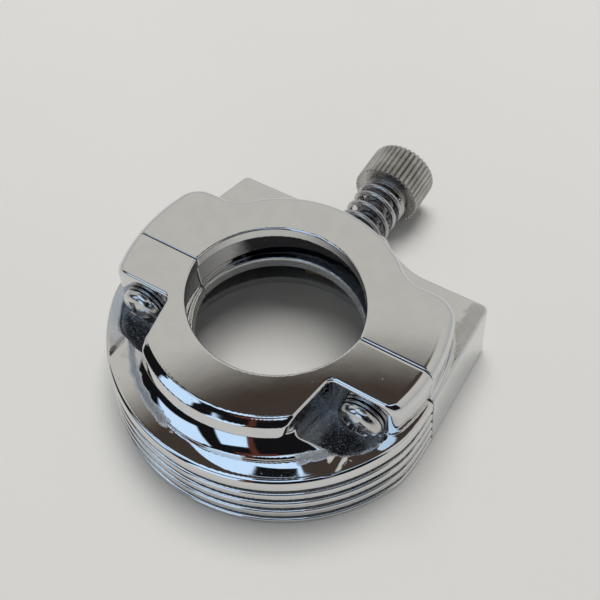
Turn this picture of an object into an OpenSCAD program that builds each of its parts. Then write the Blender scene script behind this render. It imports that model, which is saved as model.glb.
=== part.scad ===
// Two-piece throttle-grip housing that clamps a 25.4 mm handlebar, with a friction thumbscrew.
// Millimetres. The origin is on the sleeve bore's axis, at the underside of the base.
// +X runs along the split between the halves, +Y back to the thumbscrew, +Z up to the collar.

/* [Clamp] */
// Radius of the handlebar seat bored in each half
seat_r = 12.7; // [12.3:0.1:12.9]
// How far each seat's centre stands past the split while the empty clamp is shut
pinch = 1.39; // [1:0.01:1.5]
// Radius of the relief between the seat's upper and lower lands
relief_r = 13.1; // [12.8:0.1:13.4]
// How far the relief's centre stands behind the seat's, away from the split
relief_back = 0.8; // [0.4:0.1:1]
// Lower end of the relief
relief_low = 10.6; // [10.2:0.1:11]
// Upper end of the relief
relief_high = 15.6; // [15:0.1:16]
// Gap between the halves at the split
split_gap = 0.12; // [0.06:0.01:0.3]
// Outer radius of the clamp collar
collar_r = 17.8; // [17.2:0.1:18.4]
// Height of the collar's top face
total_h = 17.4; // [17:0.1:18.5]
// Height of the plain band round the collar's top
band_h = 3.2; // [2.4:0.1:3.6]
// How far the front neck is set in below the band
neck_in = 0.3; // [0.2:0.1:1]
// Radius at which the neck's cove meets the shoulder
crease_r = 19.5; // [19:0.1:20]
// Rounding of the collar's top edge
collar_round = 1.2; // [0.6:0.1:1.6]

/* [Ears] */
// Radius of the ears' curved ends, about the front seat's centre
ear_r = 23; // [22.4:0.1:23.2]
// Front face of the ears, in front of the split
ear_front = 6.9; // [6.4:0.1:7.2]
// Rear face of the ears, behind the split
ear_back = 11; // [10.4:0.1:11.4]
// Rounding of the ears' rear corners in plan
ear_corner = 2.4; // [1:0.1:3]
// Inner end of each screw pocket at the ear's front face
pocket_in_x = 12.4; // [12:0.1:13]
// Inner end of each screw pocket at its mouth
pocket_mouth_x = 11.2; // [10.8:0.1:11.8]
// Depth of each screw pocket from front to back
pocket_reach = 6.6; // [6:0.1:7]
// Height of the pocket's floor
pocket_floor = 9.5; // [9.2:0.1:9.8]

/* [Drum] */
// Height of the finned drum
drum_h = 10.6; // [10.2:0.1:11]
// Centre of the drum's round front, from the bore's axis towards the right
drum_x = -0.4; // [-0.5:0.1:0]
// Centre of the drum's round front, from the bore's axis towards the back
drum_y = 1.9; // [1.4:0.1:2]
// Radius of the drum's top rim
rim_r = 24.8; // [24.4:0.1:25]
// Radius of the drum's foot
foot_r = 26; // [25.4:0.1:26.2]
// Flat right side of the drum, from the middle
side_x = 24.3; // [24:0.1:24.6]
// Flat left side of the drum, from the middle
left_x = 24.8; // [24.3:0.1:25]
// Radius of the hollow that holds the grip sleeve's flange
hollow_r = 18; // [17:0.1:18.5]
// Back wall of the hollow
hollow_back = 15; // [14.6:0.1:15.4]
// Thickness of the drum's floor
floor_t = 1.6; // [1.4:0.1:2]
// Thickness of the drum's roof
roof_t = 2; // [1.8:0.1:2.2]
// Radius of the opening for the grip sleeve
sleeve_r = 14.5; // [14.4:0.05:14.8]
// Number of grooves round the drum's front
grooves = 4; // [2:1:4]
// Height of the lowest groove's centre
groove_low = 1.3; // [1.1:0.1:1.6]
// Spacing of the grooves
groove_pitch = 2.25; // [1.8:0.05:2.3]
// Width of each groove at the surface
groove_w = 0.8; // [0.5:0.1:1]
// Depth of each groove
groove_d = 0.7; // [0.4:0.1:1]
// Height of the shoulder where it meets the neck's cove
shoulder_h = 11.2; // [10.8:0.1:11.5]

/* [Rear block] */
// Rear face on the right
back_right_y = 17.2; // [17:0.1:17.6]
// Rear face of the boss and the cable block
boss_y = 21.3; // [20.8:0.1:21.8]
// Left end of the cable block
block_left_x = -19.6; // [-20:0.1:-19]
// Right end of the boss at its rear face
boss_right_x = 5.4; // [5:0.1:6]
// Right end of the boss where it meets the rear face on the right
boss_foot_x = 11.2; // [10:0.1:12]
// Position of the cable inlet along the block
cable_x = -15; // [-15.4:0.1:-14.6]
// Radius of the cable inlet's ferrule bore
ferrule_r = 3; // [2.6:0.1:3.1]
// Depth of the ferrule bore
ferrule_depth = 6; // [5:0.1:6.5]
// Radius of the passage for the inner cable
cable_r = 1.4; // [1:0.1:1.6]
// Height of the cable inlet
cable_z = 5.2; // [5:0.1:5.4]

/* [Clamp screws] */
// Position of each clamp screw from the middle
screw_x = 17.1; // [16.8:0.1:17.4]
// Height of the clamp screws
screw_z = 12.7; // [12.6:0.1:13]
// Radius of the screws' shanks
screw_r = 2; // [1.8:0.05:2.1]
// Radius of the pan heads
head_r = 3; // [2.8:0.1:3.1]
// Height of the pan heads
head_h = 1.8; // [1.6:0.1:2]
// How far the screws reach behind the split
screw_reach = 8; // [7:0.1:8.2]
// Thickness of the lock washers
washer_t = 0.6; // [0.4:0.1:0.8]
// Outer radius of the lock washers
washer_r = 3.1; // [2.9:0.1:3.1]

/* [Thumbscrew] */
// Height of the thumbscrew's axis
thumb_z = 6; // [5.9:0.1:6.1]
// Radius of the threaded stud
stud_r = 2.4; // [2.2:0.05:2.5]
// Radius of the knurled knob
knob_r = 5.42; // [5.2:0.01:5.5]
// Near face of the knob
knob_near = 31.5; // [30:0.1:32]
// Far face of the knob
knob_far = 37.9; // [37:0.1:38.5]
// Number of knurl grooves round the knob
knurls = 40; // [24:1:48]
// Depth of the knurl
knurl_d = 0.3; // [0.2:0.05:0.4]
// Radius of the spring's wire
wire_r = 0.42; // [0.35:0.01:0.45]
// Radius of the spring to its wire's centre
coil_r = 3.6; // [3.5:0.05:3.8]
// Back of the friction shoe
shoe_back = 16.9; // [16.7:0.1:17]
// Half the width of the friction shoe
shoe_half = 5; // [4:0.1:5.4]
// Room behind the shoe for screwing it out
shoe_room = 0.7; // [0.65:0.05:0.9]

/* [Hidden] */
$fn = 96;
// Larger than the whole part, for cutting it in half
big = 80;
// Overlap that keeps joined solids from merely touching
lap = 0.5;
// How far a cut runs past the face it opens
over = 1;
// Clearance of a tapped hole, drawn plain, round its screw
thread_clear = 0.05;
// Clearance of a drilled hole round its screw
drill_clear = 0.2;
// Clearance of the shoe in its guide
guide_clear = 0.15;
ceiling = drum_h - roof_t;
head_seat = -ear_front - washer_t;
band_z = total_h - band_h;
neck_r = collar_r - neck_in;
arc_steps = 6;
// Rounding of the drum's top rim
rim_q = 0.8;
// Slope of the step under the collar's band
band_slope = 0.3;
// Centre of the rounding at an ear's rear corner, tangent to the ear's end and its rear face
corner_y = ear_back - ear_corner;
corner_x = sqrt(pow(ear_r - ear_corner, 2) - pow(corner_y - pinch, 2));
// Ledges left between a pocket's sunken floor and the rim, the neck and the pocket's mouth
rim_ledge = 1.6;
neck_ledge = 1;
mouth_ledge = 1.6;
// Where the drum's left wall starts to slant in
slant_y = 5;
// Middle of the slope between the boss and the rear face on the right, from the slope's foot and the boss
slope_x = 3.6;
slope_y = 2.2;
// Rounding of the rear right corner
block_q = 1;
// Thickness of the knob behind the stud's end
knob_web = 2;
stud_end = knob_far - knob_web;
// Small hub on the knob that carries the spring's end
hub_r = 3.4;
hub_h = 0.6;

// Points of a quarter arc from the outside of a top edge inwards
function edge_arc(r, z, q) = [
    for (i = [0 : arc_steps])
        [r - q + q * cos(90 * i / arc_steps), z - q + q * sin(90 * i / arc_steps)]
];

// Radius of the drum's drafted side at height z
function side_r(z) = foot_r + (rim_r - foot_r) * z / drum_h;

// Outline of the drum's section, with its grooves, from the foot to the neck
drum_section = concat(
    [[0, 0], [foot_r, 0]],
    [for (i = [0 : grooves - 1], s = [0 : 3])
        let (z = groove_low + i * groove_pitch, half = groove_w / 2,
             dz = [-half, -half / 2, half / 2, half][s], in = (s == 1 || s == 2) ? groove_d : 0)
        [side_r(z + dz) - in, z + dz]],
    edge_arc(rim_r, drum_h, rim_q),
    [[crease_r + drum_y, shoulder_h], [0, shoulder_h]]
);

// Points of the front neck, which spreads in a cove from the band down to the shoulder
neck_line = concat(
    [[0, ceiling], [crease_r, ceiling]],
    [for (i = [0 : arc_steps])
        let (rise = i / arc_steps)
        [neck_r + (crease_r - neck_r) * pow(1 - rise, 2),
         shoulder_h + (band_z - band_slope - shoulder_h) * rise]],
    [[collar_r, band_z]]
);

// Outline of the collar's section, with the cove in front and straight down behind
function collar_section(side) = concat(
    side > 0 ? [[0, ceiling], [collar_r, ceiling]] : neck_line,
    edge_arc(collar_r, total_h, collar_round),
    [[0, total_h]]
);

// Keeps the part of its children on one side of the split
module half(side) {
    intersection() {
        children();
        translate([-big / 2, side > 0 ? split_gap / 2 : -big - split_gap / 2, -over])
            cube([big, big, total_h + 2 * over]);
    }
}

// Cylinder along +Y from y0 to y1
module along_y(r, y0, y1, x = 0, z = 0) {
    translate([x, y0, z])
        rotate([-90, 0, 0])
            cylinder(r = r, h = y1 - y0);
}

// What is cut from an ear's outline to round its rear corner
module corner_cut() {
    lean = atan2(corner_y - pinch, corner_x);
    translate([corner_x, corner_y])
        difference() {
            polygon([[0, 0], [0, ear_r], [ear_r, ear_r], [ear_r * cos(lean), ear_r * sin(lean)]]);
            circle(ear_corner);
        }
}

module ears() {
    linear_extrude(height = total_h)
        difference() {
            intersection() {
                translate([0, pinch])
                    circle(ear_r, $fn = 180);
                translate([-big / 2, -ear_front])
                    square([big, ear_front + ear_back]);
            }
            for (side = [-1, 1])
                scale([side, 1])
                    corner_cut();
        }
}

module front_drum() {
    intersection() {
        translate([drum_x, drum_y, 0])
            rotate_extrude($fn = 180)
                polygon(drum_section);
        translate([-left_x, -big / 2, -over])
            cube([left_x + side_x, big, total_h]);
    }
}

module collar(side) {
    rotate_extrude($fn = 180)
        polygon(collar_section(side));
}

module rear_block() {
    linear_extrude(height = drum_h)
        polygon([
            [-left_x, -lap], [-left_x, slant_y], [block_left_x, boss_y], [boss_right_x, boss_y],
            [boss_foot_x - slope_x, boss_y - slope_y], [boss_foot_x, back_right_y],
            [side_x - block_q, back_right_y],
            [side_x - block_q / 3, back_right_y - block_q / 3],
            [side_x, back_right_y - block_q], [side_x, -lap]
        ]);
}

// Seat for the bar, centred on its own half's axis, relieved between its two lands
module bar_seat(side) {
    translate([0, -side * pinch, ceiling - over])
        cylinder(r = seat_r, h = total_h, $fn = 180);
    translate([0, side * (relief_back - pinch), relief_low])
        cylinder(r = relief_r, h = relief_high - relief_low, $fn = 180);
}

// Hollow for the sleeve's flange, and the sleeve's opening below it
module hollow() {
    intersection() {
        translate([0, 0, floor_t])
            cylinder(r = hollow_r, h = ceiling - floor_t, $fn = 180);
        translate([-big / 2, -big, 0])
            cube([big, big + hollow_back, drum_h]);
    }
    translate([0, 0, -over])
        cylinder(r = sleeve_r, h = floor_t + 2 * over, $fn = 180);
}

// Notch in front of an ear, with a sunken floor that stops short of the rim
module pocket(side) {
    scale([side, 1, 1])
        translate([0, -ear_front, 0]) {
            translate([0, 0, drum_h])
                linear_extrude(height = total_h)
                    polygon([
                        [pocket_in_x, 0], [pocket_mouth_x, -pocket_reach],
                        [big / 2, -pocket_reach - over], [big / 2, 0]
                    ]);
            intersection() {
                translate([0, 0, pocket_floor])
                    linear_extrude(height = total_h)
                        polygon([
                            [pocket_in_x, 0],
                            [pocket_mouth_x + neck_ledge, -pocket_reach + mouth_ledge],
                            [pocket_in_x + 3 * neck_ledge, -pocket_reach + neck_ledge],
                            [big / 2, 0]
                        ]);
                translate([side * drum_x, drum_y + ear_front, 0])
                    cylinder(r = rim_r - rim_ledge, h = big);
            }
        }
}

module front_housing() {
    color([0.78, 0.79, 0.8])
        difference() {
            half(-1)
                union() {
                    front_drum();
                    collar(-1);
                    ears();
                }
            hollow();
            bar_seat(-1);
            for (side = [-1, 1]) {
                pocket(side);
                along_y(screw_r + drill_clear, -ear_front - over, over, side * screw_x, screw_z);
            }
        }
}

module rear_housing() {
    color([0.74, 0.74, 0.75])
        difference() {
            half(1)
                union() {
                    rear_block();
                    collar(1);
                    ears();
                }
            hollow();
            bar_seat(1);
            for (side = [-1, 1])
                along_y(screw_r + thread_clear, -over, screw_reach + lap, side * screw_x, screw_z);
            along_y(stud_r + thread_clear, hollow_back - over, boss_y + over, 0, thumb_z);
            translate([-shoe_half - guide_clear, hollow_back - over, floor_t])
                cube([2 * (shoe_half + guide_clear), shoe_back + shoe_room - hollow_back + over,
                      ceiling - floor_t]);
            along_y(ferrule_r, boss_y - ferrule_depth, boss_y + over, cable_x, cable_z);
            along_y(cable_r, hollow_r / 2, boss_y, cable_x, cable_z);
        }
}

// Pan-head screw with a cross recess, its head in front
module clamp_screw(side) {
    slot_w = 0.8;
    slot_l = 3.2;
    slot_d = 1.1;
    head_q = 1.1;
    color([0.6, 0.6, 0.6])
        translate([side * screw_x, head_seat, screw_z])
            difference() {
                union() {
                    rotate([90, 0, 0])
                        rotate_extrude()
                            polygon(concat([[0, 0], [head_r, 0]],
                                           edge_arc(head_r, head_h, head_q), [[0, head_h]]));
                    along_y(screw_r, -lap, screw_reach - head_seat);
                }
                for (turn = [20, 110])
                    rotate([0, turn, 0])
                        translate([-slot_l / 2, -head_h - lap, -slot_w / 2])
                            cube([slot_l, slot_d + lap, slot_w]);
            }
}

// Split spring washer under a clamp screw's head
module lock_washer(side) {
    skin = 0.01;
    slit_w = 0.4;
    slit_turn = 35;
    color([0.45, 0.45, 0.46])
        difference() {
            along_y(washer_r, head_seat + skin, -ear_front - skin, side * screw_x, screw_z);
            along_y(screw_r + drill_clear / 2, head_seat - over, 0, side * screw_x, screw_z);
            translate([side * screw_x, head_seat - over, screw_z])
                rotate([0, slit_turn, 0])
                    translate([0, 0, -slit_w / 2])
                        cube([big, big, slit_w]);
        }
}

// Threaded stud, drawn plain, from the shoe to inside the knob
module friction_screw() {
    shoe_gap = 0.02;
    color([0.55, 0.55, 0.56])
        along_y(stud_r, shoe_back + shoe_gap, stud_end, 0, thumb_z);
}

// Straight-knurled knob with a small hub that carries the spring's end
module friction_knob() {
    knob_q = 0.4;
    tooth = 360 / knurls;
    color([0.55, 0.54, 0.52])
        difference() {
            translate([0, 0, thumb_z])
                rotate([-90, 0, 0]) {
                    intersection() {
                        translate([0, 0, knob_near])
                            linear_extrude(height = knob_far - knob_near)
                                difference() {
                                    circle(knob_r);
                                    for (i = [0 : knurls - 1])
                                        rotate(i * tooth)
                                            translate([knob_r, 0])
                                                polygon([[-knurl_d, 0], [lap, -lap], [lap, lap]]);
                                }
                        rotate_extrude()
                            polygon([
                                [0, knob_near], [knob_r - knob_q, knob_near],
                                [knob_r, knob_near + knob_q], [knob_r, knob_far - knob_q],
                                [knob_r - knob_q, knob_far], [0, knob_far]
                            ]);
                    }
                    translate([0, 0, knob_near - hub_h])
                        cylinder(r = hub_r, h = hub_h + lap);
                }
            along_y(stud_r, knob_near - over, stud_end, 0, thumb_z);
        }
}

// Compression spring: closed end turns, open turns between
spring_gap = 0.05;
spring_y0 = boss_y + wire_r + spring_gap;
spring_y1 = knob_near - hub_h - wire_r - spring_gap;
turn_steps = 20;
wire_sides = 8;
end_turns = 0.75;
open_turns = 3;
knob_turns = 1.25;
spring_turns = end_turns + open_turns + knob_turns;
closed_pitch = 2 * wire_r + 0.03;
open_pitch = (spring_y1 - spring_y0 - closed_pitch * (end_turns + knob_turns)) / open_turns;
spring_steps = round(spring_turns * turn_steps);

// Position along Y of the wire's centre after t turns
function spring_y(t) = spring_y0
    + closed_pitch * min(t, end_turns)
    + open_pitch * min(max(t - end_turns, 0), open_turns)
    + closed_pitch * max(t - end_turns - open_turns, 0);

// One point on the wire's surface, after t turns and at angle a round the wire
function wire_point(t, a) =
    let (r = coil_r + wire_r * cos(a))
    [r * cos(360 * t), spring_y(t) + wire_r * sin(a), thumb_z + r * sin(360 * t)];

module friction_spring() {
    points = [for (i = [0 : spring_steps], k = [0 : wire_sides - 1])
        wire_point(i / turn_steps, 360 * k / wire_sides)];
    skin = [for (i = [0 : spring_steps - 1], k = [0 : wire_sides - 1])
        let (a = i * wire_sides + k, b = i * wire_sides + (k + 1) % wire_sides)
        [a, b, b + wire_sides, a + wire_sides]];
    first = [for (k = [wire_sides - 1 : -1 : 0]) k];
    last = [for (k = [0 : wire_sides - 1]) spring_steps * wire_sides + k];
    color([0.5, 0.5, 0.5])
        polyhedron(points = points, faces = concat(skin, [first, last]), convexity = 10);
}

// Pad that the stud presses on the grip sleeve
module friction_shoe() {
    travel_to_sleeve = 1.1;
    shoe_front = 13.6;
    shoe_clear = 0.2;
    color([0.75, 0.62, 0.35])
        difference() {
            translate([-shoe_half, shoe_front, floor_t + shoe_clear])
                cube([2 * shoe_half, shoe_back - shoe_front, ceiling - floor_t - 2 * shoe_clear]);
            translate([0, travel_to_sleeve, 0])
                cylinder(r = sleeve_r - shoe_clear, h = drum_h, $fn = 180);
        }
}

front_housing();
rear_housing();
clamp_screw(-1);  // clamp_screw_left
clamp_screw(1);  // clamp_screw_right
lock_washer(-1);  // lock_washer_left
lock_washer(1);  // lock_washer_right
friction_screw();
friction_knob();
friction_spring();
friction_shoe();
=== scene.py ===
"""Looks of the chromed throttle-grip housing: two cast halves, clamp screws, sprung friction thumbscrew."""

import math

import bmesh
import bpy
import numpy as np
from mathutils import Matrix, Vector


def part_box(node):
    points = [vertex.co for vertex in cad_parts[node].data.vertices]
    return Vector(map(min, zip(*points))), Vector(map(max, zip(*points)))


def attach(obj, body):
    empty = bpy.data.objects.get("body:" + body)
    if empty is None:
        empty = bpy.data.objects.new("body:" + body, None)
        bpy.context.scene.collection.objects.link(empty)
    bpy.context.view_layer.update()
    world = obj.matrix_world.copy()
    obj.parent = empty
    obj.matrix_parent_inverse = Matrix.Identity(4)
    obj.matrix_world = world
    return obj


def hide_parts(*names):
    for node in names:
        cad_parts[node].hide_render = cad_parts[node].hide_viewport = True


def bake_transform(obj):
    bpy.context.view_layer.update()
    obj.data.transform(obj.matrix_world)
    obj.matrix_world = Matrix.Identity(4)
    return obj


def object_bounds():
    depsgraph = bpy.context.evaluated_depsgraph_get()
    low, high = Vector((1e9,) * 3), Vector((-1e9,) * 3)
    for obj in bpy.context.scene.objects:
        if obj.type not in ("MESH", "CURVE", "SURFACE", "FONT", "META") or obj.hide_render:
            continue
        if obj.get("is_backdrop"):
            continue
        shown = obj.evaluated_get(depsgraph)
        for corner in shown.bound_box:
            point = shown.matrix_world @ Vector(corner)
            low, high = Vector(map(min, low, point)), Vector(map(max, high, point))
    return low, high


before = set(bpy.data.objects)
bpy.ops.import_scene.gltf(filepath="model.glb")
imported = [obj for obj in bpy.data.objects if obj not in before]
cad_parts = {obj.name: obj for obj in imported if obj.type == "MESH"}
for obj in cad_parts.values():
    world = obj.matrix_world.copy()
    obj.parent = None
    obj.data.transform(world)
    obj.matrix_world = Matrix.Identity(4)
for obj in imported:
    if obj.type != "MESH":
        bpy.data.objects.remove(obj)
CAD_LOW, CAD_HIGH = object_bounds()
MM = 0.001

# ---------------------------------------------------------------- where the CAD parts are, in millimetres


def box_mm(node):
    """A CAD node's lowest and highest corner in millimetres."""
    low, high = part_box(node)
    return np.array(low) / MM, np.array(high) / MM


REAR_LOW, REAR_HIGH = box_mm("rear_housing")
KNOB_LOW, KNOB_HIGH = box_mm("friction_knob")
STUD_LOW, STUD_HIGH = box_mm("friction_screw")
SPRING_LOW, SPRING_HIGH = box_mm("friction_spring")
SHOE_LOW, SHOE_HIGH = box_mm("friction_shoe")

SCREW_LOW, SCREW_HIGH = box_mm("clamp_screw_right")

TOP = REAR_HIGH[2]
BOSS_Y = REAR_HIGH[1]
SPLIT = REAR_LOW[1]
PINCH = 1.39

# bar seat, its relief, the hollow for the sleeve's flange and the sleeve's opening in the floor
SEAT_R = 12.7
RELIEF_R, RELIEF_SHIFT, RELIEF_Z, RELIEF_HALF = 13.1, 0.8, 13.1, 2.5
HOLLOW_R, HOLLOW_BACK = 18.0, 15.0
SLEEVE_R, SLEEVE_SHIFT = 16.2, 1.9
CEILING = 8.6
FLOOR_T = 1.6

# collar: its band, the neck set in below it and the cove at the neck's foot
COLLAR_R = 17.8
NECK_R = 16.5
BAND_Z = 14.8
COVE_R, COVE_Z, COVE_Q, COVE_LIFT = 22.9, 17.1, 6.75, 0.7
NECK_FOOT = 20.3
BEVEL_TOP, BEVEL_H, BEVEL_SLOPE, BAND_SLOPE = 0.1, 0.62, 1.55, 0.3
EAR_R, EAR_FRONT, EAR_BACK = 23.1, 6.9, 11.2

# screw pockets: inner wall, the line where the floor runs out, and the sunken floor
POCKET_X, POCKET_FACING = 12.4, (0.984, 0.179)
MOUTH_X, MOUTH_Y, MOUTH_FACING = 15.4, 12.7, (0.222, 0.975)
SINK_R, SINK_Z = 22.9, 9.55

# drum, its fins and the skirt between the neck and the flat shoulder
DRUM_X, DRUM_Y = -0.4, 1.9
DRUM_H, FOOT_R, RIM_FALL = 10.6, 26.1, 1.3
SIDE_FOOT, LEFT_FOOT, SIDE_FALL = 24.5, 25.2, 0.7
GROOVES, GROOVE_Z, GROOVE_STEP = 4, 1.3, 2.25
GROOVE_W, GROOVE_D, GROOVE_Q = 1.0, 0.8, 0.26
SKIRT_R, SKIRT_WIDER, SKIRT_REACH = 21.55, 1.75, 4.6
SKIRT_LIP, SKIRT_SPREAD, SKIRT_BEND = 0.05, 0.095, 2.3

# rear block: its slanted left end, the boss round the thumbscrew and the lower back beside it
SLANT_X, SLANT_Y, SLANT_FACING = -24.9, 5.0, (-0.951, 0.309)
BOSS_X, BOSS_SIDE_Y, BOSS_FACING = 6.2, 20.3, (0.8, 0.6)
BACK_Y, BACK_FILLET = 17.25, 4.2

# screw holes, thumbscrew hole, shoe guide and cable inlet
SCREW_X = (SCREW_LOW[0] + SCREW_HIGH[0]) / 2
SCREW_Z = (SCREW_LOW[2] + SCREW_HIGH[2]) / 2
CLEAR_HOLE_R, TAPPED_HOLE_R, TAPPED_DEPTH = 2.2, 2.05, 8.5
THUMB_Z = (STUD_LOW[2] + STUD_HIGH[2]) / 2
THUMB_HOLE_R = 2.45
GUIDE_HALF, GUIDE_FRONT, GUIDE_BACK = 5.15, 13, 17.6
CABLE_X, CABLE_Z = -15.0, 5.2
INLET_R, INLET_DEPTH = 3.0, 6
PASSAGE_R, PASSAGE_FRONT = 1.4, 9

# ---------------------------------------------------------------- shapes as distance fields


def cut_edge(a, b, q):
    """Common part of two shapes, with the edge between them rounded to radius q."""
    u, v = np.maximum(q + a, 0), np.maximum(q + b, 0)
    return np.minimum(-q, np.maximum(a, b)) + np.hypot(u, v)


def join(a, b, q):
    """Both shapes as one, with a fillet of radius q between them."""
    u, v = np.maximum(q - a, 0), np.maximum(q - b, 0)
    return np.maximum(q, np.minimum(a, b)) - np.hypot(u, v)


def step(x, low, high):
    """Smooth step from 0 at low to 1 at high."""
    t = np.clip((x - low) / (high - low), 0, 1)
    return t * t * (3 - 2 * t)


def waves(x, y, z, seed, size, octaves=2):
    """Smooth pseudo-random relief from about -1 to 1, made of slanted sine waves."""
    rng = np.random.default_rng(seed)
    total, gain = 0, 1.0
    for _ in range(octaves):
        for _ in range(4):
            d = rng.normal(size=3)
            d /= np.linalg.norm(d)
            phase = rng.uniform(0, math.tau)
            total = total + gain * np.sin((x * d[0] + y * d[1] + z * d[2]) * math.tau / size + phase)
        size, gain = size * 0.47, gain * 0.5
    return total / 4


def top_plan(x, y, z, radius):
    """Outline of the collar with its ears: drafted ends, and a bevel round the front of the band."""
    draft = (TOP - z) * (0.045 - 0.045 * np.tanh(x))
    slant = np.where(y < 0, 0.36, 0.1)
    bevel = step(-y, 3, 10) * step(x, -17, -10)
    plain = slant * np.clip(16 - z, 0, 1.9) - slant
    drop = TOP - BEVEL_TOP - z
    slope = BEVEL_SLOPE * np.clip(drop, 0, BEVEL_H) + BAND_SLOPE * np.clip(drop - BEVEL_H, 0, 1.9)
    radius = radius + plain + bevel * (slope - 0.38 - plain)
    ear = cut_edge(np.hypot(x, y - PINCH) - EAR_R - draft, y - EAR_BACK, 2.3)
    ear = cut_edge(ear, -EAR_FRONT - 0.9 - y, 2.4)
    return join(np.hypot(x, y) - radius, ear, 1.3)


def pocket_side(x, y):
    """Distance from a pocket's inner wall, positive on the collar's side."""
    return (POCKET_X - np.abs(x)) * POCKET_FACING[0] + (y + EAR_FRONT) * POCKET_FACING[1]


def pocket_plan(x, y):
    """Outline of the pockets in front of the ears."""
    return cut_edge(y + EAR_FRONT, pocket_side(x, y), 0.55)


def pocket_mouth(x, y):
    """Distance from the mouth of a pocket, negative on the ear's side."""
    return (np.abs(x) - MOUTH_X) * MOUTH_FACING[0] - (y + MOUTH_Y) * MOUTH_FACING[1]


def pocket_foot(x, y):
    """Outline of a pocket below the collar, where it stops at its mouth."""
    return cut_edge(pocket_plan(x, y), pocket_mouth(x, y), 0.8)


def top_solid(x, y, z, front):
    """Collar and ears above the drum."""
    ear_edge = step(np.abs(x), 17.5, 21.0)
    band = top_plan(x, y, z, COLLAR_R)
    if not front:
        return np.maximum(cut_edge(band, z - TOP, 1.15 + 0.5 * ear_edge), CEILING - z)
    edge = 1.35 - 1.05 * step(x, -17, -10) * step(-y, 7.5, 11) + 0.3 * ear_edge
    r0 = np.hypot(x, y)
    band = cut_edge(cut_edge(band, BAND_Z - z, 0.2), z - TOP, edge)
    ears = cut_edge(top_plan(x, y, z, NECK_R), z - TOP, edge)
    top = cut_edge(np.minimum(band, ears), -pocket_plan(x, y), 0.5)
    cove_z = COVE_Z + COVE_LIFT * step(x, -7, 7)
    neck = cut_edge(COVE_Q - np.hypot(r0 - COVE_R, z - cove_z), r0 - NECK_FOOT, 0.25)
    neck = np.maximum(np.maximum(neck, z - BAND_Z - 0.8), y + EAR_FRONT - 0.3)
    return np.maximum(join(top, cut_edge(neck, -pocket_foot(x, y), 0.5), 0.1), CEILING - z)


def grooved(solid, plan, z, height, width, depth, q):
    """A groove round the plan's outline at a height."""
    groove = cut_edge(np.abs(z - height) - width / 2, -plan - depth, q)
    return cut_edge(solid, -groove, q)


def skirt(x, y, z):
    """Sloping skirt between the neck's crease and the flat shoulder, widest towards the right."""
    r2 = np.hypot(x, y - PINCH)
    width = SKIRT_R + SKIRT_WIDER * step(x, -7, 7)
    rise = np.clip(width - r2, 0, SKIRT_REACH)
    bend = np.minimum(rise, SKIRT_BEND)
    cone = z - DRUM_H - SKIRT_LIP * rise - SKIRT_SPREAD * bend * (2 * rise - bend)
    cone = cone / np.sqrt(1 + (SKIRT_LIP + 2 * SKIRT_SPREAD * bend) ** 2)
    pocket = step(-pocket_foot(x, y), -0.4, 0.8)
    return np.maximum(np.maximum(cone, r2 - width), CEILING - z) + 3 * pocket


def front_field(x, y, z):
    """The front half: finned drum, skirt, neck and collar, with the two pockets."""
    wall = FOOT_R - RIM_FALL * z / DRUM_H
    r2 = np.hypot(x - DRUM_X, y - DRUM_Y)
    lean = SIDE_FALL * z / DRUM_H
    plan = cut_edge(r2 - wall, np.maximum(x - SIDE_FOOT, -x - LEFT_FOOT) + lean, 1.2)
    drum = cut_edge(plan, z - DRUM_H, 0.55)
    for i in range(GROOVES):
        drum = grooved(drum, plan, z, GROOVE_Z + GROOVE_STEP * i, GROOVE_W, GROOVE_D, GROOVE_Q)
    drum = cut_edge(drum, -z, 0.3)
    solid = join(top_solid(x, y, z, True), np.minimum(drum, skirt(x, y, z)), 0.1)
    # the sunken, as-cast floor of each pocket
    sink = cut_edge(y + EAR_FRONT + 0.1, pocket_side(x, y) + 0.15, 0.6)
    sink = cut_edge(sink, r2 - SINK_R, 0.8)
    sink = cut_edge(cut_edge(sink, pocket_mouth(x, y) + 0.2, 0.9), SINK_Z - z, 0.6)
    solid = cut_edge(solid, -sink, 0.35)
    return inside_of(x, y, z, solid, -1)


def rear_field(x, y, z):
    """The rear half: flat-sided block with its boss, neck and collar, and the holes from behind."""
    lean = z / DRUM_H
    right = x - (SIDE_FOOT - SIDE_FALL * lean)
    left = -x - (LEFT_FOOT - SIDE_FALL * lean)
    slant = (x - SLANT_X) * SLANT_FACING[0] + (y - SLANT_Y) * SLANT_FACING[1] + 0.35 * lean
    boss_side = (x - BOSS_X) * BOSS_FACING[0] + (y - BOSS_SIDE_Y) * BOSS_FACING[1]
    boss = cut_edge(y - BOSS_Y + 0.25 * lean, boss_side, 0.7)
    back = join(y - BACK_Y + 0.2 * lean, boss, BACK_FILLET)
    plan = cut_edge(cut_edge(right, back, 1.0), cut_edge(left, slant, 6.0), 0.8)
    block = cut_edge(plan, z - DRUM_H, 0.5)
    # thin draw lines near the foot of the flat side
    for height, depth in ((1.5, 0.1), (3.1, 0.08)):
        block = grooved(block, right, z, height, 0.25, depth, 0.05)
    block = cut_edge(block, -z, 0.3)
    solid = join(top_solid(x, y, z, False), block, 0.7)
    # guide for the shoe, tapped hole for the stud, cable inlet with its passage
    thumb = np.hypot(x, z - THUMB_Z)
    guide = np.maximum(np.abs(x) - GUIDE_HALF, np.maximum(FLOOR_T - z, z - CEILING))
    guide = np.maximum(guide, y - GUIDE_BACK)
    solid = cut_edge(solid, -np.maximum(guide, GUIDE_FRONT - y), 0.1)
    solid = cut_edge(solid, -np.maximum(thumb - THUMB_HOLE_R, GUIDE_FRONT - y), 0.25)
    cable = np.hypot(x - CABLE_X, z - CABLE_Z)
    solid = cut_edge(solid, -np.maximum(cable - INLET_R, BOSS_Y - INLET_DEPTH - y), 0.3)
    solid = cut_edge(solid, -np.maximum(cable - PASSAGE_R, PASSAGE_FRONT - y), 0.1)
    return inside_of(x, y, z, solid, 1)


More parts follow.
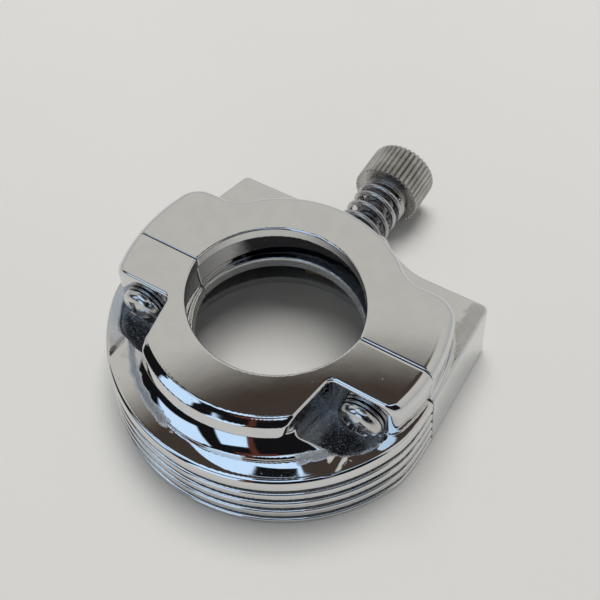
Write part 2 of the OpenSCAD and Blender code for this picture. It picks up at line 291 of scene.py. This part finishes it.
def inside_of(x, y, z, solid, side):
    """Cuts what both halves share: bar seat with its relief, hollow, sleeve opening, screw holes, split."""
    seat_y = -side * PINCH
    seat = np.hypot(x, y - seat_y) - SEAT_R
    relief = np.hypot(x, y - seat_y - side * RELIEF_SHIFT) - RELIEF_R
    relief = cut_edge(relief, np.abs(z - RELIEF_Z) - RELIEF_HALF, 0.25)
    solid = cut_edge(solid, -np.maximum(seat, CEILING - 1 - z), 0.22)
    solid = cut_edge(solid, -relief, 0.12)
    hollow = np.maximum(np.hypot(x, y) - HOLLOW_R, np.maximum(z - CEILING, FLOOR_T - z))
    if side > 0:
        hollow = np.maximum(hollow, y - HOLLOW_BACK)
    solid = cut_edge(solid, -hollow, 0.15)
    sleeve = np.hypot(x, y + side * SLEEVE_SHIFT) - SLEEVE_R
    solid = cut_edge(solid, -np.maximum(sleeve, z - FLOOR_T - 0.5), 0.15)
    hole = np.hypot(np.abs(x) - SCREW_X, z - SCREW_Z)
    if side < 0:
        solid = cut_edge(solid, -(hole - CLEAR_HOLE_R), 0.1)
    else:
        solid = cut_edge(solid, -np.maximum(hole - TAPPED_HOLE_R, y - TAPPED_DEPTH), 0.1)
    return cut_edge(solid, -side * y + abs(SPLIT), 0.16)


# ---------------------------------------------------------------- turning a field into a mesh


def surface_net(field, low, high, pitch):
    """Vertices in millimetres and quads of a field's zero surface."""
    axes = [np.arange(a - 1.5 * pitch, b + 2.5 * pitch, pitch) for a, b in zip(low, high)]
    shape = [len(a) for a in axes]
    values = np.empty(shape, np.float32)
    ygrid, zgrid = np.meshgrid(axes[1], axes[2], indexing="ij")
    for i0 in range(0, shape[0], 24):
        part = axes[0][i0 : i0 + 24]
        xx = np.broadcast_to(part[:, None, None], (len(part),) + ygrid.shape)
        values[i0 : i0 + 24] = field(xx, np.broadcast_to(ygrid, xx.shape), np.broadcast_to(zgrid, xx.shape))
    inside = values < 0
    corner = [(i, j, k) for i in (0, 1) for j in (0, 1) for k in (0, 1)]
    n = [s - 1 for s in shape]
    count = sum(inside[i : i + n[0], j : j + n[1], k : k + n[2]].astype(np.int8) for i, j, k in corner)
    active = (count > 0) & (count < 8)
    cells = np.argwhere(active)
    index = np.full(n, -1, np.int32)
    index[active] = np.arange(len(cells))
    cx, cy, cz = cells.T
    corner_value = np.stack([values[cx + i, cy + j, cz + k] for i, j, k in corner], 1)
    total, hits = np.zeros((len(cells), 3)), np.zeros(len(cells))
    for a in range(8):
        for axis in range(3):
            b = a | (4 >> axis)
            if a == b:
                continue
            va, vb = corner_value[:, a], corner_value[:, b]
            cross = (va < 0) != (vb < 0)
            t = np.where(cross, va / np.where(cross, va - vb, 1), 0)
            point = np.repeat(np.array(corner[a], float)[None], len(cells), 0)
            point[:, axis] += t
            total += point * cross[:, None]
            hits += cross
    points = cells + total / hits[:, None]
    points = np.stack([axes[d][0] + points[:, d] * pitch for d in range(3)], 1)
    quads = []
    for axis in range(3):
        o1, o2 = [d for d in range(3) if d != axis]
        here = [slice(1, -1)] * 3
        here[axis] = slice(0, -1)
        ahead = list(here)
        ahead[axis] = slice(1, None)
        a, b = inside[tuple(here)], inside[tuple(ahead)]
        edge = np.argwhere(a != b)
        flip = a[a != b] != (axis == 1)
        edge[:, o1] += 1
        edge[:, o2] += 1
        quad = []
        for d1, d2 in ((0, 0), (1, 0), (1, 1), (0, 1)):
            cell = edge.copy()
            cell[:, o1] -= d1
            cell[:, o2] -= d2
            quad.append(index[cell[:, 0], cell[:, 1], cell[:, 2]])
        quad = np.stack(quad, 1)
        quad[~flip] = quad[~flip][:, ::-1]
        quads.append(quad)
    return points, np.concatenate(quads)


def slope(field, p, h=0.02):
    """Gradient of a field at points."""
    x, y, z = p.T
    return np.stack(
        [
            field(x + h, y, z) - field(x - h, y, z),
            field(x, y + h, z) - field(x, y - h, z),
            field(x, y, z + h) - field(x, y, z - h),
        ],
        1,
    ) / (2 * h)


def make_mesh(name, points, faces, normals=None):
    """An object from points in millimetres and faces, smooth shaded."""
    mesh = bpy.data.meshes.new(name)
    mesh.from_pydata((np.asarray(points) * MM).tolist(), [], np.asarray(faces).tolist())
    mesh.update()
    mesh.shade_smooth()
    if normals is not None:
        mesh.normals_split_custom_set_from_vertices(np.asarray(normals, float).tolist())
    obj = bpy.data.objects.new(name, mesh)
    bpy.context.scene.collection.objects.link(obj)
    return obj


def solid_mesh(name, field, low, high, pitch):
    """A smooth mesh of a field, with its vertices moved onto the surface and normals from the field."""
    points, quads = surface_net(field, low, high, pitch)
    for _ in range(3):
        g = slope(field, points)
        size = np.maximum((g * g).sum(1), 0.05)
        move = -g * (field(*points.T) / size)[:, None]
        length = np.linalg.norm(move, axis=1)
        points = points + move * np.minimum(1, 0.4 * pitch / np.maximum(length, 1e-9))[:, None]
    g = slope(field, points, 0.35 * pitch)
    normals = g / np.maximum(np.linalg.norm(g, axis=1), 1e-9)[:, None]
    return make_mesh(name, points, quads, normals), points, normals


def add_attribute(obj, name, values):
    """Gives an object's points one number each, for its material."""
    layer = obj.data.attributes.new(name, "FLOAT", "POINT")
    layer.data.foreach_set("value", np.asarray(values, np.float32))


def place(obj, body, slot, material, *nodes):
    """Gives a piece its material and body, and hides the CAD nodes that it stands for."""
    obj.data.materials.append(material)
    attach(obj, body)
    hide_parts(*nodes)
    return obj


# ---------------------------------------------------------------- materials


class Nodes:
    """Small helper for writing a material's node tree."""

    def __init__(self, name):
        self.material = bpy.data.materials.new(name)
        self.material.use_nodes = True
        self.tree = self.material.node_tree
        self.shader = self.tree.nodes["Principled BSDF"]
        coordinates = self.tree.nodes.new("ShaderNodeTexCoord")
        self.place = coordinates.outputs["Object"]

    def link(self, out, socket):
        self.tree.links.new(out, socket)

    def noise(self, scale, detail=3.0, rough=0.5):
        """Noise with so many lumps a metre."""
        node = self.tree.nodes.new("ShaderNodeTexNoise")
        node.inputs["Scale"].default_value = scale
        node.inputs["Detail"].default_value = detail
        node.inputs["Roughness"].default_value = rough
        self.link(self.place, node.inputs["Vector"])
        return node.outputs["Fac"]

    def attribute(self, name):
        node = self.tree.nodes.new("ShaderNodeAttribute")
        node.attribute_name = name
        return node.outputs["Fac"]

    def math(self, kind, a, b, clamp=False):
        node = self.tree.nodes.new("ShaderNodeMath")
        node.operation = kind
        node.use_clamp = clamp
        for i, value in enumerate((a, b)):
            if isinstance(value, (int, float)):
                node.inputs[i].default_value = value
            else:
                self.link(value, node.inputs[i])
        return node.outputs[0]

    def ramp(self, value, low, high, out_low=0.0, out_high=1.0):
        node = self.tree.nodes.new("ShaderNodeMapRange")
        node.interpolation_type = "SMOOTHSTEP"
        self.link(value, node.inputs["Value"])
        limits = {"From Min": low, "From Max": high, "To Min": out_low, "To Max": out_high}
        for key, number in limits.items():
            if isinstance(number, (int, float)):
                node.inputs[key].default_value = number
            else:
                self.link(number, node.inputs[key])
        return node.outputs["Result"]

    def blend(self, share, a, b):
        """Colour a where share is 0 and b where it is 1."""
        node = self.tree.nodes.new("ShaderNodeMix")
        node.data_type = "RGBA"
        self.link(share, node.inputs["Factor"])
        for socket, colour in ((node.inputs[6], a), (node.inputs[7], b)):
            if isinstance(colour, tuple):
                socket.default_value = (*colour, 1)
            else:
                self.link(colour, socket)
        return node.outputs[2]

    def bump(self, height, distance, strength=1.0, under=None):
        node = self.tree.nodes.new("ShaderNodeBump")
        node.inputs["Distance"].default_value = distance
        if isinstance(strength, (int, float)):
            node.inputs["Strength"].default_value = strength
        else:
            self.link(strength, node.inputs["Strength"])
        self.link(height, node.inputs["Height"])
        if under is not None:
            self.link(under, node.inputs["Normal"])
        return node.outputs["Normal"]

    def finish(self, colour, roughness, normal, metallic=1.0):
        s = self.shader
        if isinstance(colour, tuple):
            s.inputs["Base Color"].default_value = (*colour, 1)
        else:
            self.link(colour, s.inputs["Base Color"])
        self.link(roughness, s.inputs["Roughness"])
        self.link(normal, s.inputs["Normal"])
        s.inputs["Metallic"].default_value = metallic
        return self.material


def chrome(name):
    """Bright plate: a mirror where it was buffed, sandy where cast is high, and painted shade, a near-black
    colour, where dark is high.
    """
    n = Nodes(name)
    cast = n.attribute("cast")
    dark = n.attribute("dark")
    peel = n.noise(420, 2.0)
    grain = n.noise(5200, 3.0, 0.6)
    speck = n.noise(2600, 1.0)
    pits = n.ramp(speck, 0.79, 0.83)
    rough = n.ramp(peel, 0.3, 0.7, 0.02, 0.045)
    rough = n.math("ADD", rough, n.math("MULTIPLY", cast, n.ramp(grain, 0.3, 0.7, 0.08, 0.24)))
    rough = n.math("ADD", rough, n.math("MULTIPLY", pits, 0.1), True)
    plate = n.blend(n.ramp(peel, 0.3, 0.7), (0.70, 0.705, 0.715), (0.735, 0.735, 0.735))
    # painted shade: where dark is high the plate colour turns near black, left open in specks where the grain
    # is high
    glint = n.math("ADD", grain, n.math("MULTIPLY", cast, 0.12))
    painted_shade = n.math("MULTIPLY", dark, n.ramp(glint, 0.76, 0.68, 0.1, 1.0))
    plate = n.blend(painted_shade, plate, (0.02, 0.02, 0.024))
    normal = n.bump(peel, 0.00002, 0.12)
    normal = n.bump(grain, 0.0005, n.math("MULTIPLY", cast, 1.0), normal)
    normal = n.bump(pits, 0.00003, 0.35, normal)
    return n.finish(plate, rough, normal)


def plated(name, light, shade, rough_low, rough_high, depth=0.00003, scale=3000, strength=0.4):
    """Plated steel or brass with a fine grain."""
    n = Nodes(name)
    grain = n.noise(scale, 4.0, 0.6)
    broad = n.noise(scale / 9, 2.0)
    colour = n.blend(n.ramp(broad, 0.35, 0.65), light, shade)
    rough = n.ramp(grain, 0.3, 0.7, rough_low, rough_high)
    return n.finish(colour, rough, n.bump(grain, depth, strength))


CHROME = chrome("chrome_plate")
SCREW = plated("screw_plate", (0.72, 0.71, 0.70), (0.60, 0.59, 0.58), 0.10, 0.24)
WASHER = plated("washer_plate", (0.50, 0.50, 0.50), (0.38, 0.38, 0.39), 0.22, 0.40)
# the stud's colour is darkened as painted shade, for the shade it lies in between the spring's coils
STUD = plated("stud_plate", (0.32, 0.32, 0.33), (0.20, 0.20, 0.21), 0.12, 0.28)
KNOB = plated("knob_nickel", (0.56, 0.545, 0.52), (0.38, 0.37, 0.35), 0.22, 0.40, 0.00008, 2200, 0.8)
SPRING = plated("spring_wire", (0.52, 0.52, 0.53), (0.40, 0.40, 0.41), 0.06, 0.15)
BRASS = plated("shoe_brass", (0.72, 0.56, 0.28), (0.60, 0.45, 0.20), 0.25, 0.42)

# ---------------------------------------------------------------- the two halves

CAST_PITCH = 0.22
SMALL_PITCH = 0.085
THREAD_PITCH = 0.09
KNOB_PITCH = 0.085
SHOE_PITCH = 0.14
UPWARD = 0.7
BELOW_NECK = 12.0


def finish_marks(p, normals, side):
    """Where a half is left as cast (1) or buffed (0), and where shade is painted on as a near-black colour
    (1).
    """
    x, y, z = p.T
    r0 = np.hypot(x, y)
    seat = np.hypot(x, y + side * PINCH)
    ragged = waves(x, y, z, 5, 2.3, 3)
    inner = step(CEILING + 1.7 - z, -0.1, 0.3) * step(HOLLOW_R + 0.4 - r0, -0.3, 0.3)
    cast = inner * 0.8
    # the seat's relief: rough towards its lower edge
    relief_low, relief_high = RELIEF_Z - RELIEF_HALF, RELIEF_Z + RELIEF_HALF
    in_relief = step(seat, SEAT_R + 0.05, SEAT_R + 0.3) * step(RELIEF_R + 1.3 - seat, 0, 0.2)
    in_relief = in_relief * step(z - relief_low, -0.3, 0) * step(relief_high + 0.2 - z, 0, 0.25)
    low = step(relief_low + 0.8 + 0.4 * ragged + 0.1 * (x + 2) - z, 0, 1.2)
    cast = np.maximum(cast, 0.8 * in_relief * low)
    angle = np.degrees(np.arctan2(y, x))
    # painted shade inside the hollow, between its ceiling and its floor
    dark = inner * step(CEILING + 0.1 - z, 0, 0.3) * step(z - FLOOR_T, -0.2, 0.2)
    if side > 0:
        # painted shade in the seat's relief, with less of it towards the left as a painted reflection of the
        # paper
        shine = 0.7 * step(angle + 3 * ragged, 138, 158)
        dark = np.maximum(dark, in_relief * (1 - 0.15 * low) * (1 - shine))
    if side < 0:
        pocket = -pocket_plan(x, y)
        r2 = np.hypot(x - DRUM_X, y - DRUM_Y)
        under = step(DRUM_H + 0.35 + 0.35 * ragged - z, -0.1, 0.5)
        under = under * step(normals[:, 2], 0.3, 0.6) * step(pocket + 0.3 * ragged, 0.0, 0.6)
        under = under * step(0.5 * ragged - pocket_mouth(x, y), -0.1, 0.6)
        cast = np.maximum(cast, step(SINK_R + 0.3 + 0.3 * ragged - r2, -0.2, 0.6) * under)
        # painted shade on the sunken floor of each pocket
        pocket_floor_shade = step(SINK_R - 0.2 + 0.5 * ragged - r2, -0.2, 0.8)
        pocket_floor_shade = pocket_floor_shade * step(pocket + 0.3 * ragged, 0.9, 2.6)
        dark = np.maximum(dark, 0.9 * pocket_floor_shade * under)
        # sandy strip where the neck's cove runs into the shoulder
        strip = 1 - np.abs(r0 - NECK_FOOT - 0.15 * ragged) / 0.55
        turn = np.degrees(np.arctan2(-x, -y))
        ends = np.maximum(step(turn + 6 * ragged, 8, 20), step(-turn + 3 * ragged, 38, 42))
        strip = step(strip, 0, 0.4) * step(BELOW_NECK - z, 0, 0.3) * ends
        cast = np.maximum(cast, 0.9 * strip * (y < -3))
        # painted shade in the fin grooves
        groove = step(FOOT_R - RIM_FALL * z / DRUM_H - 0.3 - r2, 0, 0.25) * step(r0, 20, 21)
        groove = groove * (z < 9.3) * (z > 0.4)
        dark = np.maximum(dark, 0.7 * groove * (np.abs(x) < 23.4))
        # the shoulder's left end is only lightly buffed
        left = step(-x - 14.5 + 1.3 * ragged, 0, 4) * step(y, -17, -8)
        left = left * (z < BELOW_NECK) * (normals[:, 2] > UPWARD)
        cast = np.maximum(cast, 0.45 * left)
    else:
        corner = step(x - 20.4 + 0.8 * ragged, 0, 2.4) * step(y - 4 + 2 * ragged, 0, 6)
        corner = corner * (z < BELOW_NECK) * (normals[:, 2] > UPWARD)
        cast = np.maximum(cast, 0.25 * corner)
    bottom = (normals[:, 2] < -0.9) * 0.25
    return np.clip(np.maximum(cast, bottom), 0, 1), np.clip(dark, 0, 1)


for node, field, side, low, high, body, slot in (
    ("front_housing", front_field, -1, (-25.5, -24.2, 0), (25, 0, TOP), "front_half", "chrome_front"),
    ("rear_housing", rear_field, 1, (-25.5, 0, 0), (25, BOSS_Y + 0.2, TOP), "rear_half", "chrome_rear"),
):
    half, points, normals = solid_mesh(node + "_cast", field, low, high, CAST_PITCH)
    cast, dark = finish_marks(points, normals, side)
    add_attribute(half, "cast", cast)
    # the dark attribute carries the painted shade
    add_attribute(half, "dark", dark)
    place(half, body, slot, CHROME, node)

# ---------------------------------------------------------------- clamp screws and washers

HEAD_R, HEAD_H, DOME_R = 3.0, 1.8, 5.6
SHANK_R, SCREW_LEAD = 1.98, 0.7
WASHER_R, WASHER_HALF = 2.6, 0.45


def screw_field(centre_x, turn):
    """Pan head with a cross recess, and a threaded shank towards +Y."""
    head_front, reach = SCREW_LOW[1], SCREW_HIGH[1]
    head_back = head_front + HEAD_H
    c, s = math.cos(turn), math.sin(turn)

    def field(x, y, z):
        u, w = x - centre_x, z - SCREW_Z
        r = np.hypot(u, w)
        dome = np.hypot(r, y - (head_front + DOME_R)) - DOME_R
        head = cut_edge(cut_edge(r - HEAD_R, dome, 0.55), y - head_back, 0.12)
        p, q = u * c + w * s, -u * s + w * c
        depth = y - head_front
        arm = 0.60 - 0.14 * depth
        reach_r = 2.15 - 0.6 * depth
        p, q = np.abs(p), np.abs(q)
        cross = np.minimum(np.maximum(p - arm, q - reach_r), np.maximum(q - arm, p - reach_r))
        cross = join(cross, r - 0.75 + 0.25 * depth, 0.15)
        cross = np.maximum(cross, depth - 1.25)
        head = cut_edge(head, -cross, 0.07)
        phase = (np.arctan2(w, u) / math.tau + y / SCREW_LEAD) % 1.0
        thread = r - SHANK_R + 0.55 * np.minimum(np.abs(phase - 0.5), 0.42) * SCREW_LEAD
        shank = cut_edge(cut_edge(thread * 0.85, y - reach, 0.4), head_back - 0.6 - y, 0.1)
        return join(head, shank, 0.1)

    return field


for name, centre_x, turn, body in (
    ("left", -SCREW_X, 0.35, "left_screw"),
    ("right", SCREW_X, 1.0, "right_screw"),
):
    reach = HEAD_R + 0.05
    low = (centre_x - reach, SCREW_LOW[1], SCREW_Z - reach)
    high = (centre_x + reach, SCREW_HIGH[1], SCREW_Z + reach)
    field = screw_field(centre_x, turn)
    screw, _, _ = solid_mesh(f"clamp_screw_{name}_cut", field, low, high, SMALL_PITCH)
    place(screw, body, "screw_steel", SCREW, f"clamp_screw_{name}")

for name, centre_x in (("left", -SCREW_X), ("right", SCREW_X)):
    low, high = box_mm(f"lock_washer_{name}")
    mid, thick = (low[1] + high[1]) / 2, (high[1] - low[1]) / 2

    def washer_field(x, y, z, centre_x=centre_x, mid=mid, thick=thick):
        u, w = x - centre_x, z - SCREW_Z
        r = np.hypot(u, w)
        turn = np.arctan2(w, u)
        lead = 0.09 * turn / math.pi
        ring = cut_edge(np.abs(r - WASHER_R) - WASHER_HALF, np.abs(y - mid - lead) - thick + 0.1, 0.08)
        slit = np.maximum(np.abs(w + 0.35 * (y - mid)) - 0.16, u)
        return cut_edge(ring, -slit, 0.04)

    piece = f"lock_washer_{name}_split"
    washer, _, _ = solid_mesh(piece, washer_field, low - 0.1, high + 0.1, THREAD_PITCH)
    place(washer, "front_half", "screw_steel", WASHER, f"lock_washer_{name}")

# ---------------------------------------------------------------- thumbscrew: stud, knob, spring and shoe

KNOB_FAR = KNOB_HIGH[1]
KNOB_HUB = KNOB_LOW[1]
KNOB_NEAR = KNOB_HUB + 0.6
KNOB_R = (KNOB_HIGH[2] - KNOB_LOW[2]) / 2
KNURLS = 40
STUD_R, STUD_LEAD = 2.38, 0.8


def stud_field(x, y, z):
    r = np.hypot(x, z - THUMB_Z)
    phase = (np.arctan2(z - THUMB_Z, x) / math.tau + y / STUD_LEAD) % 1.0
    crest = np.clip(np.abs(phase - 0.5) * 2, 0.14, 0.86)
    core = (r - STUD_R + 0.5 * (crest - 0.14)) * 0.72
    return cut_edge(cut_edge(core, y - STUD_HIGH[1], 0.2), STUD_LOW[1] - y, 0.35)


def knob_field(x, y, z):
    w = z - THUMB_Z
    r = np.hypot(x, w)
    turn = (np.arctan2(w, x) / math.tau * KNURLS) % 1.0
    across = np.abs(turn - 0.5) * math.tau * r / KNURLS
    side = r - KNOB_R + np.clip((0.19 - across) * 1.8, 0, 0.42)
    body = cut_edge(cut_edge(side * 0.8, y - KNOB_FAR, 0.45), KNOB_NEAR - y, 0.12)
    body = cut_edge(body, -np.maximum(r - 3.9, KNOB_FAR - 0.18 - y), 0.08)
    hub = cut_edge(r - 3.4, KNOB_HUB - y, 0.15)
    hub = np.maximum(hub, y - KNOB_NEAR - 1)
    return join(body, hub, 0.12)


stud, _, _ = solid_mesh("friction_screw_thread", stud_field, STUD_LOW, STUD_HIGH, THREAD_PITCH)
place(stud, "thumbscrew", "stud_steel", STUD, "friction_screw")
knob, _, _ = solid_mesh("friction_knob_knurl", knob_field, KNOB_LOW, KNOB_HIGH, KNOB_PITCH)
place(knob, "thumbscrew", "knob_nickel", KNOB, "friction_knob")


def shoe_field(x, y, z):
    mid_z, half_z = (SHOE_LOW[2] + SHOE_HIGH[2]) / 2, (SHOE_HIGH[2] - SHOE_LOW[2]) / 2
    block = cut_edge(np.abs(x) - SHOE_HIGH[0], np.abs(z - mid_z) - half_z, 0.25)
    block = cut_edge(block, y - SHOE_HIGH[1], 0.2)
    return cut_edge(block, 14.3 - np.hypot(x, y - 1.1), 0.2)


shoe, _, _ = solid_mesh("friction_shoe_pad", shoe_field, SHOE_LOW, SHOE_HIGH, SHOE_PITCH)
place(shoe, "shoe", "shoe_brass", BRASS, "friction_shoe")

WIRE_R = 0.42
COIL_R = (SPRING_HIGH[2] - SPRING_LOW[2]) / 2 - WIRE_R


def spring_line(turn):
    """Distance along Y after so many turns: closed at both ends, open between."""
    y0, y1 = SPRING_LOW[1] + WIRE_R, SPRING_HIGH[1] - WIRE_R
    closed = 2 * WIRE_R + 0.03
    pitch = (y1 - y0 - 2 * closed) / 3
    first, last = np.minimum(turn, 0.75), np.maximum(turn - 3.75, 0)
    return y0 + closed * first + pitch * np.clip(turn - 0.75, 0, 3) + closed * last


def sweep_faces(rows, around, order):
    """Quads between rows of points that close round, their corners in the given order."""
    i, j = np.meshgrid(np.arange(rows - 1), np.arange(around), indexing="ij")
    j2 = (j + 1) % around
    corners = (i * around + j, i * around + j2, (i + 1) * around + j2, (i + 1) * around + j)
    return np.stack([corners[k] for k in order], -1).reshape(-1, 4)


def spring_mesh(turns=5.0, around=14, along=420):
    """The spring's wire along its coils, with both ends closed off."""
    t = np.linspace(0, turns, along)
    a = math.tau * (t + 0.1)
    wobble = 1 + 0.012 * np.sin(2.3 * a)
    centre = np.stack([COIL_R * wobble * np.cos(a), spring_line(t), THUMB_Z + COIL_R * wobble * np.sin(a)], 1)
    tangent = np.gradient(centre, axis=0)
    tangent /= np.linalg.norm(tangent, axis=1)[:, None]
    outward = np.stack([np.cos(a), 0 * a, np.sin(a)], 1)
    outward -= (outward * tangent).sum(1)[:, None] * tangent
    outward /= np.linalg.norm(outward, axis=1)[:, None]
    side = np.cross(tangent, outward)
    k = np.arange(around) * 2 * math.pi / around
    size = WIRE_R * np.where((np.arange(along) == 0) | (np.arange(along) == along - 1), 0.72, 1.0)
    ring = outward[:, None] * np.cos(k)[None, :, None] + side[:, None] * np.sin(k)[None, :, None]
    points = (centre[:, None] + ring * size[:, None, None]).reshape(-1, 3)
    obj = make_mesh("friction_spring_coil", points, sweep_faces(along, around, (0, 1, 2, 3)))
    bm = bmesh.new()
    bm.from_mesh(obj.data)
    bmesh.ops.holes_fill(bm, edges=[e for e in bm.edges if e.is_boundary])
    bmesh.ops.recalc_face_normals(bm, faces=bm.faces)
    bm.to_mesh(obj.data)
    bm.free()
    obj.data.shade_smooth()
    return obj


spring = spring_mesh()
spring.data.materials.append(SPRING)
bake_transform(spring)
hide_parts("friction_spring")

# ---------------------------------------------------------------- paper, surroundings and lamps


def paper():
    """Matt, slightly warm white paper."""
    n = Nodes("paper")
    fibre = n.noise(900, 4.0)
    cloud = n.noise(9, 2.0)
    tone = n.blend(n.ramp(cloud, 0.3, 0.7), (0.775, 0.77, 0.75), (0.80, 0.795, 0.775))
    rough = n.ramp(fibre, 0.3, 0.7, 0.75, 0.95)
    return n.finish(tone, rough, n.bump(fibre, 0.00002, 0.2), 0.0)


SHEET = 900
sheet_corners = [(-SHEET, -SHEET, 0), (SHEET, -SHEET, 0), (SHEET, SHEET, 0), (-SHEET, SHEET, 0)]
floor = make_mesh("paper_sheet", sheet_corners, [(0, 1, 2, 3)])
floor.location.z = CAD_LOW.z
floor.data.materials.append(paper())
floor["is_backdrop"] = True


SKYLIGHT_X, SKYLIGHT_Y, SKYLIGHT_TURN = -0.30, 0.23, (0.794, 0.608)


def room_colour(d):
    """What the chrome reflects from a direction: a pale room, a dark ceiling, windows and a skylight."""
    height = np.degrees(np.arcsin(np.clip(d[:, 2], -1, 1)))
    around = np.degrees(np.arctan2(d[:, 0], -d[:, 1]))
    pale = np.array([0.62, 0.605, 0.56])
    low = np.array([0.50, 0.51, 0.53])
    brown = np.array([0.062, 0.047, 0.038])
    black = np.array([0.008, 0.008, 0.009])
    sky = np.array([0.75, 1.0, 1.30])
    rust = np.array([0.10, 0.035, 0.022])
    colour = low + (pale - low) * step(height, 5, 40)[:, None]
    colour = colour + (brown - colour) * step(height, 57.5, 63.0)[:, None]

    def patch(a0, a1, h0, h1, tint, soft=0.7):
        nonlocal colour
        share = step(around, a0 - soft, a0 + soft) * step(-around, -a1 - soft, -a1 + soft)
        share = share * step(height, h0 - soft, h0 + soft) * step(-height, -h1 - soft, -h1 + soft)
        colour = colour + (tint - colour) * share[:, None]

    # a dark wall in front, with two windows and a rust-red post
    patch(-74, 80, 8, 57.5, black)
    patch(-54, -31, 24, 53, sky)
    patch(-17, 8, 4, 43, sky)
    patch(8, 13, 4, 58, rust)
    patch(-10, 26, 54, 58.5, rust)
    # the skylight overhead, with a dark blind over its right half
    east, north = d[:, 0] - SKYLIGHT_X, d[:, 1] - SKYLIGHT_Y
    along = east * SKYLIGHT_TURN[0] - north * SKYLIGHT_TURN[1]
    across = east * SKYLIGHT_TURN[1] + north * SKYLIGHT_TURN[0]
    left = step(across + 0.015 + 0.543 * (along - 0.081), -0.006, 0.006)
    right = step(across - 0.066 + 0.285 * (along - 0.098), -0.004, 0.004)
    post = step(across - 0.08 + 0.285 * (along - 0.098), -0.004, 0.004)
    open_sky = step(along, 0.055, 0.07) * step(height, 58, 59) * (1 - post * step(0.8 - along, 0, 0.1))
    colour = colour + (sky - colour) * open_sky[:, None]
    blind = left * (1 - right) * step(along, 0.075, 0.085) * (1 - step(along, 0.46, 0.475))
    colour = colour + (black - colour) * blind[:, None]
    return colour


def room_dome(rings=180, around=360, radius=1.6):
    """A dome seen only in reflections."""
    height = np.radians(np.linspace(-8, 90, rings))
    turn = np.radians(np.arange(around) * 360 / around)
    h, t = np.meshgrid(height, turn, indexing="ij")
    d = np.stack([np.cos(h) * np.cos(t), np.cos(h) * np.sin(t), np.sin(h)], -1).reshape(-1, 3)
    dome = make_mesh("room_dome", d * radius / MM, sweep_faces(rings, around, (0, 3, 2, 1)))
    layer = dome.data.color_attributes.new("room", "FLOAT_COLOR", "POINT")
    colours = np.concatenate([room_colour(d), np.ones((len(d), 1))], 1).astype(np.float32)
    layer.data.foreach_set("color", colours.ravel())
    material = bpy.data.materials.new("room_light")
    material.use_nodes = True
    tree = material.node_tree
    tree.nodes.clear()
    colour = tree.nodes.new("ShaderNodeAttribute")
    colour.attribute_name = "room"
    glow = tree.nodes.new("ShaderNodeEmission")
    out = tree.nodes.new("ShaderNodeOutputMaterial")
    tree.links.new(colour.outputs["Color"], glow.inputs["Color"])
    tree.links.new(glow.outputs["Emission"], out.inputs["Surface"])
    material.cycles.emission_sampling = "NONE"
    dome.data.materials.append(material)
    dome.visible_camera = dome.visible_diffuse = dome.visible_shadow = False
    dome.visible_transmission = dome.visible_volume_scatter = False
    dome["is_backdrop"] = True


room_dome()

world = bpy.data.worlds.new("studio")
bpy.context.scene.world = world
world.use_nodes = True
world.node_tree.nodes["Background"].inputs["Color"].default_value = (0.86, 0.87, 0.90, 1)
world.node_tree.nodes["Background"].inputs["Strength"].default_value = 0.28


def lamp(name, direction, distance, size, power, colour):
    data = bpy.data.lights.new(name, "AREA")
    data.size = size
    data.energy = power
    data.color = colour
    obj = bpy.data.objects.new(name, data)
    bpy.context.scene.collection.objects.link(obj)
    d = Vector(direction).normalized()
    obj.location = d * distance
    obj.rotation_mode = "QUATERNION"
    obj.rotation_quaternion = (-d).to_track_quat("-Z", "Y")
    obj.visible_glossy = False
    obj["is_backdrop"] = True


lamp("back_light", (-0.12, 0.32, 1.0), 0.9, 0.5, 5.7, (1.0, 0.985, 0.95))

# ---------------------------------------------------------------- camera

AZIMUTH, ELEVATION, ROLL = (math.radians(a) for a in (35.6, 55.9, -4.9))
EYE = Vector((37.114, -46.255, 103.665)) * MM
level = math.cos(ELEVATION)
back = Vector((math.sin(AZIMUTH) * level, -math.cos(AZIMUTH) * level, math.sin(ELEVATION)))
right = (-back).cross(Vector((0, 0, 1))).normalized()
up = right.cross(-back)
right, up = (
    right * math.cos(ROLL) + up * math.sin(ROLL),
    -right * math.sin(ROLL) + up * math.cos(ROLL),
)
camera = bpy.data.objects.new("camera", bpy.data.cameras.new("camera"))
bpy.context.scene.collection.objects.link(camera)
camera.matrix_world = Matrix.Translation(EYE) @ Matrix((right, up, back)).transposed().to_4x4()
camera.data.sensor_width = 36.0
camera.data.lens = 47.9646
camera.data.clip_start, camera.data.clip_end = 0.005, 10.0
bpy.context.scene.camera = camera
bpy.context.scene.view_settings.view_transform = "Standard"

low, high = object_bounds()
{"cad": [list(CAD_LOW), list(CAD_HIGH)], "visual": [list(low), list(high)]}
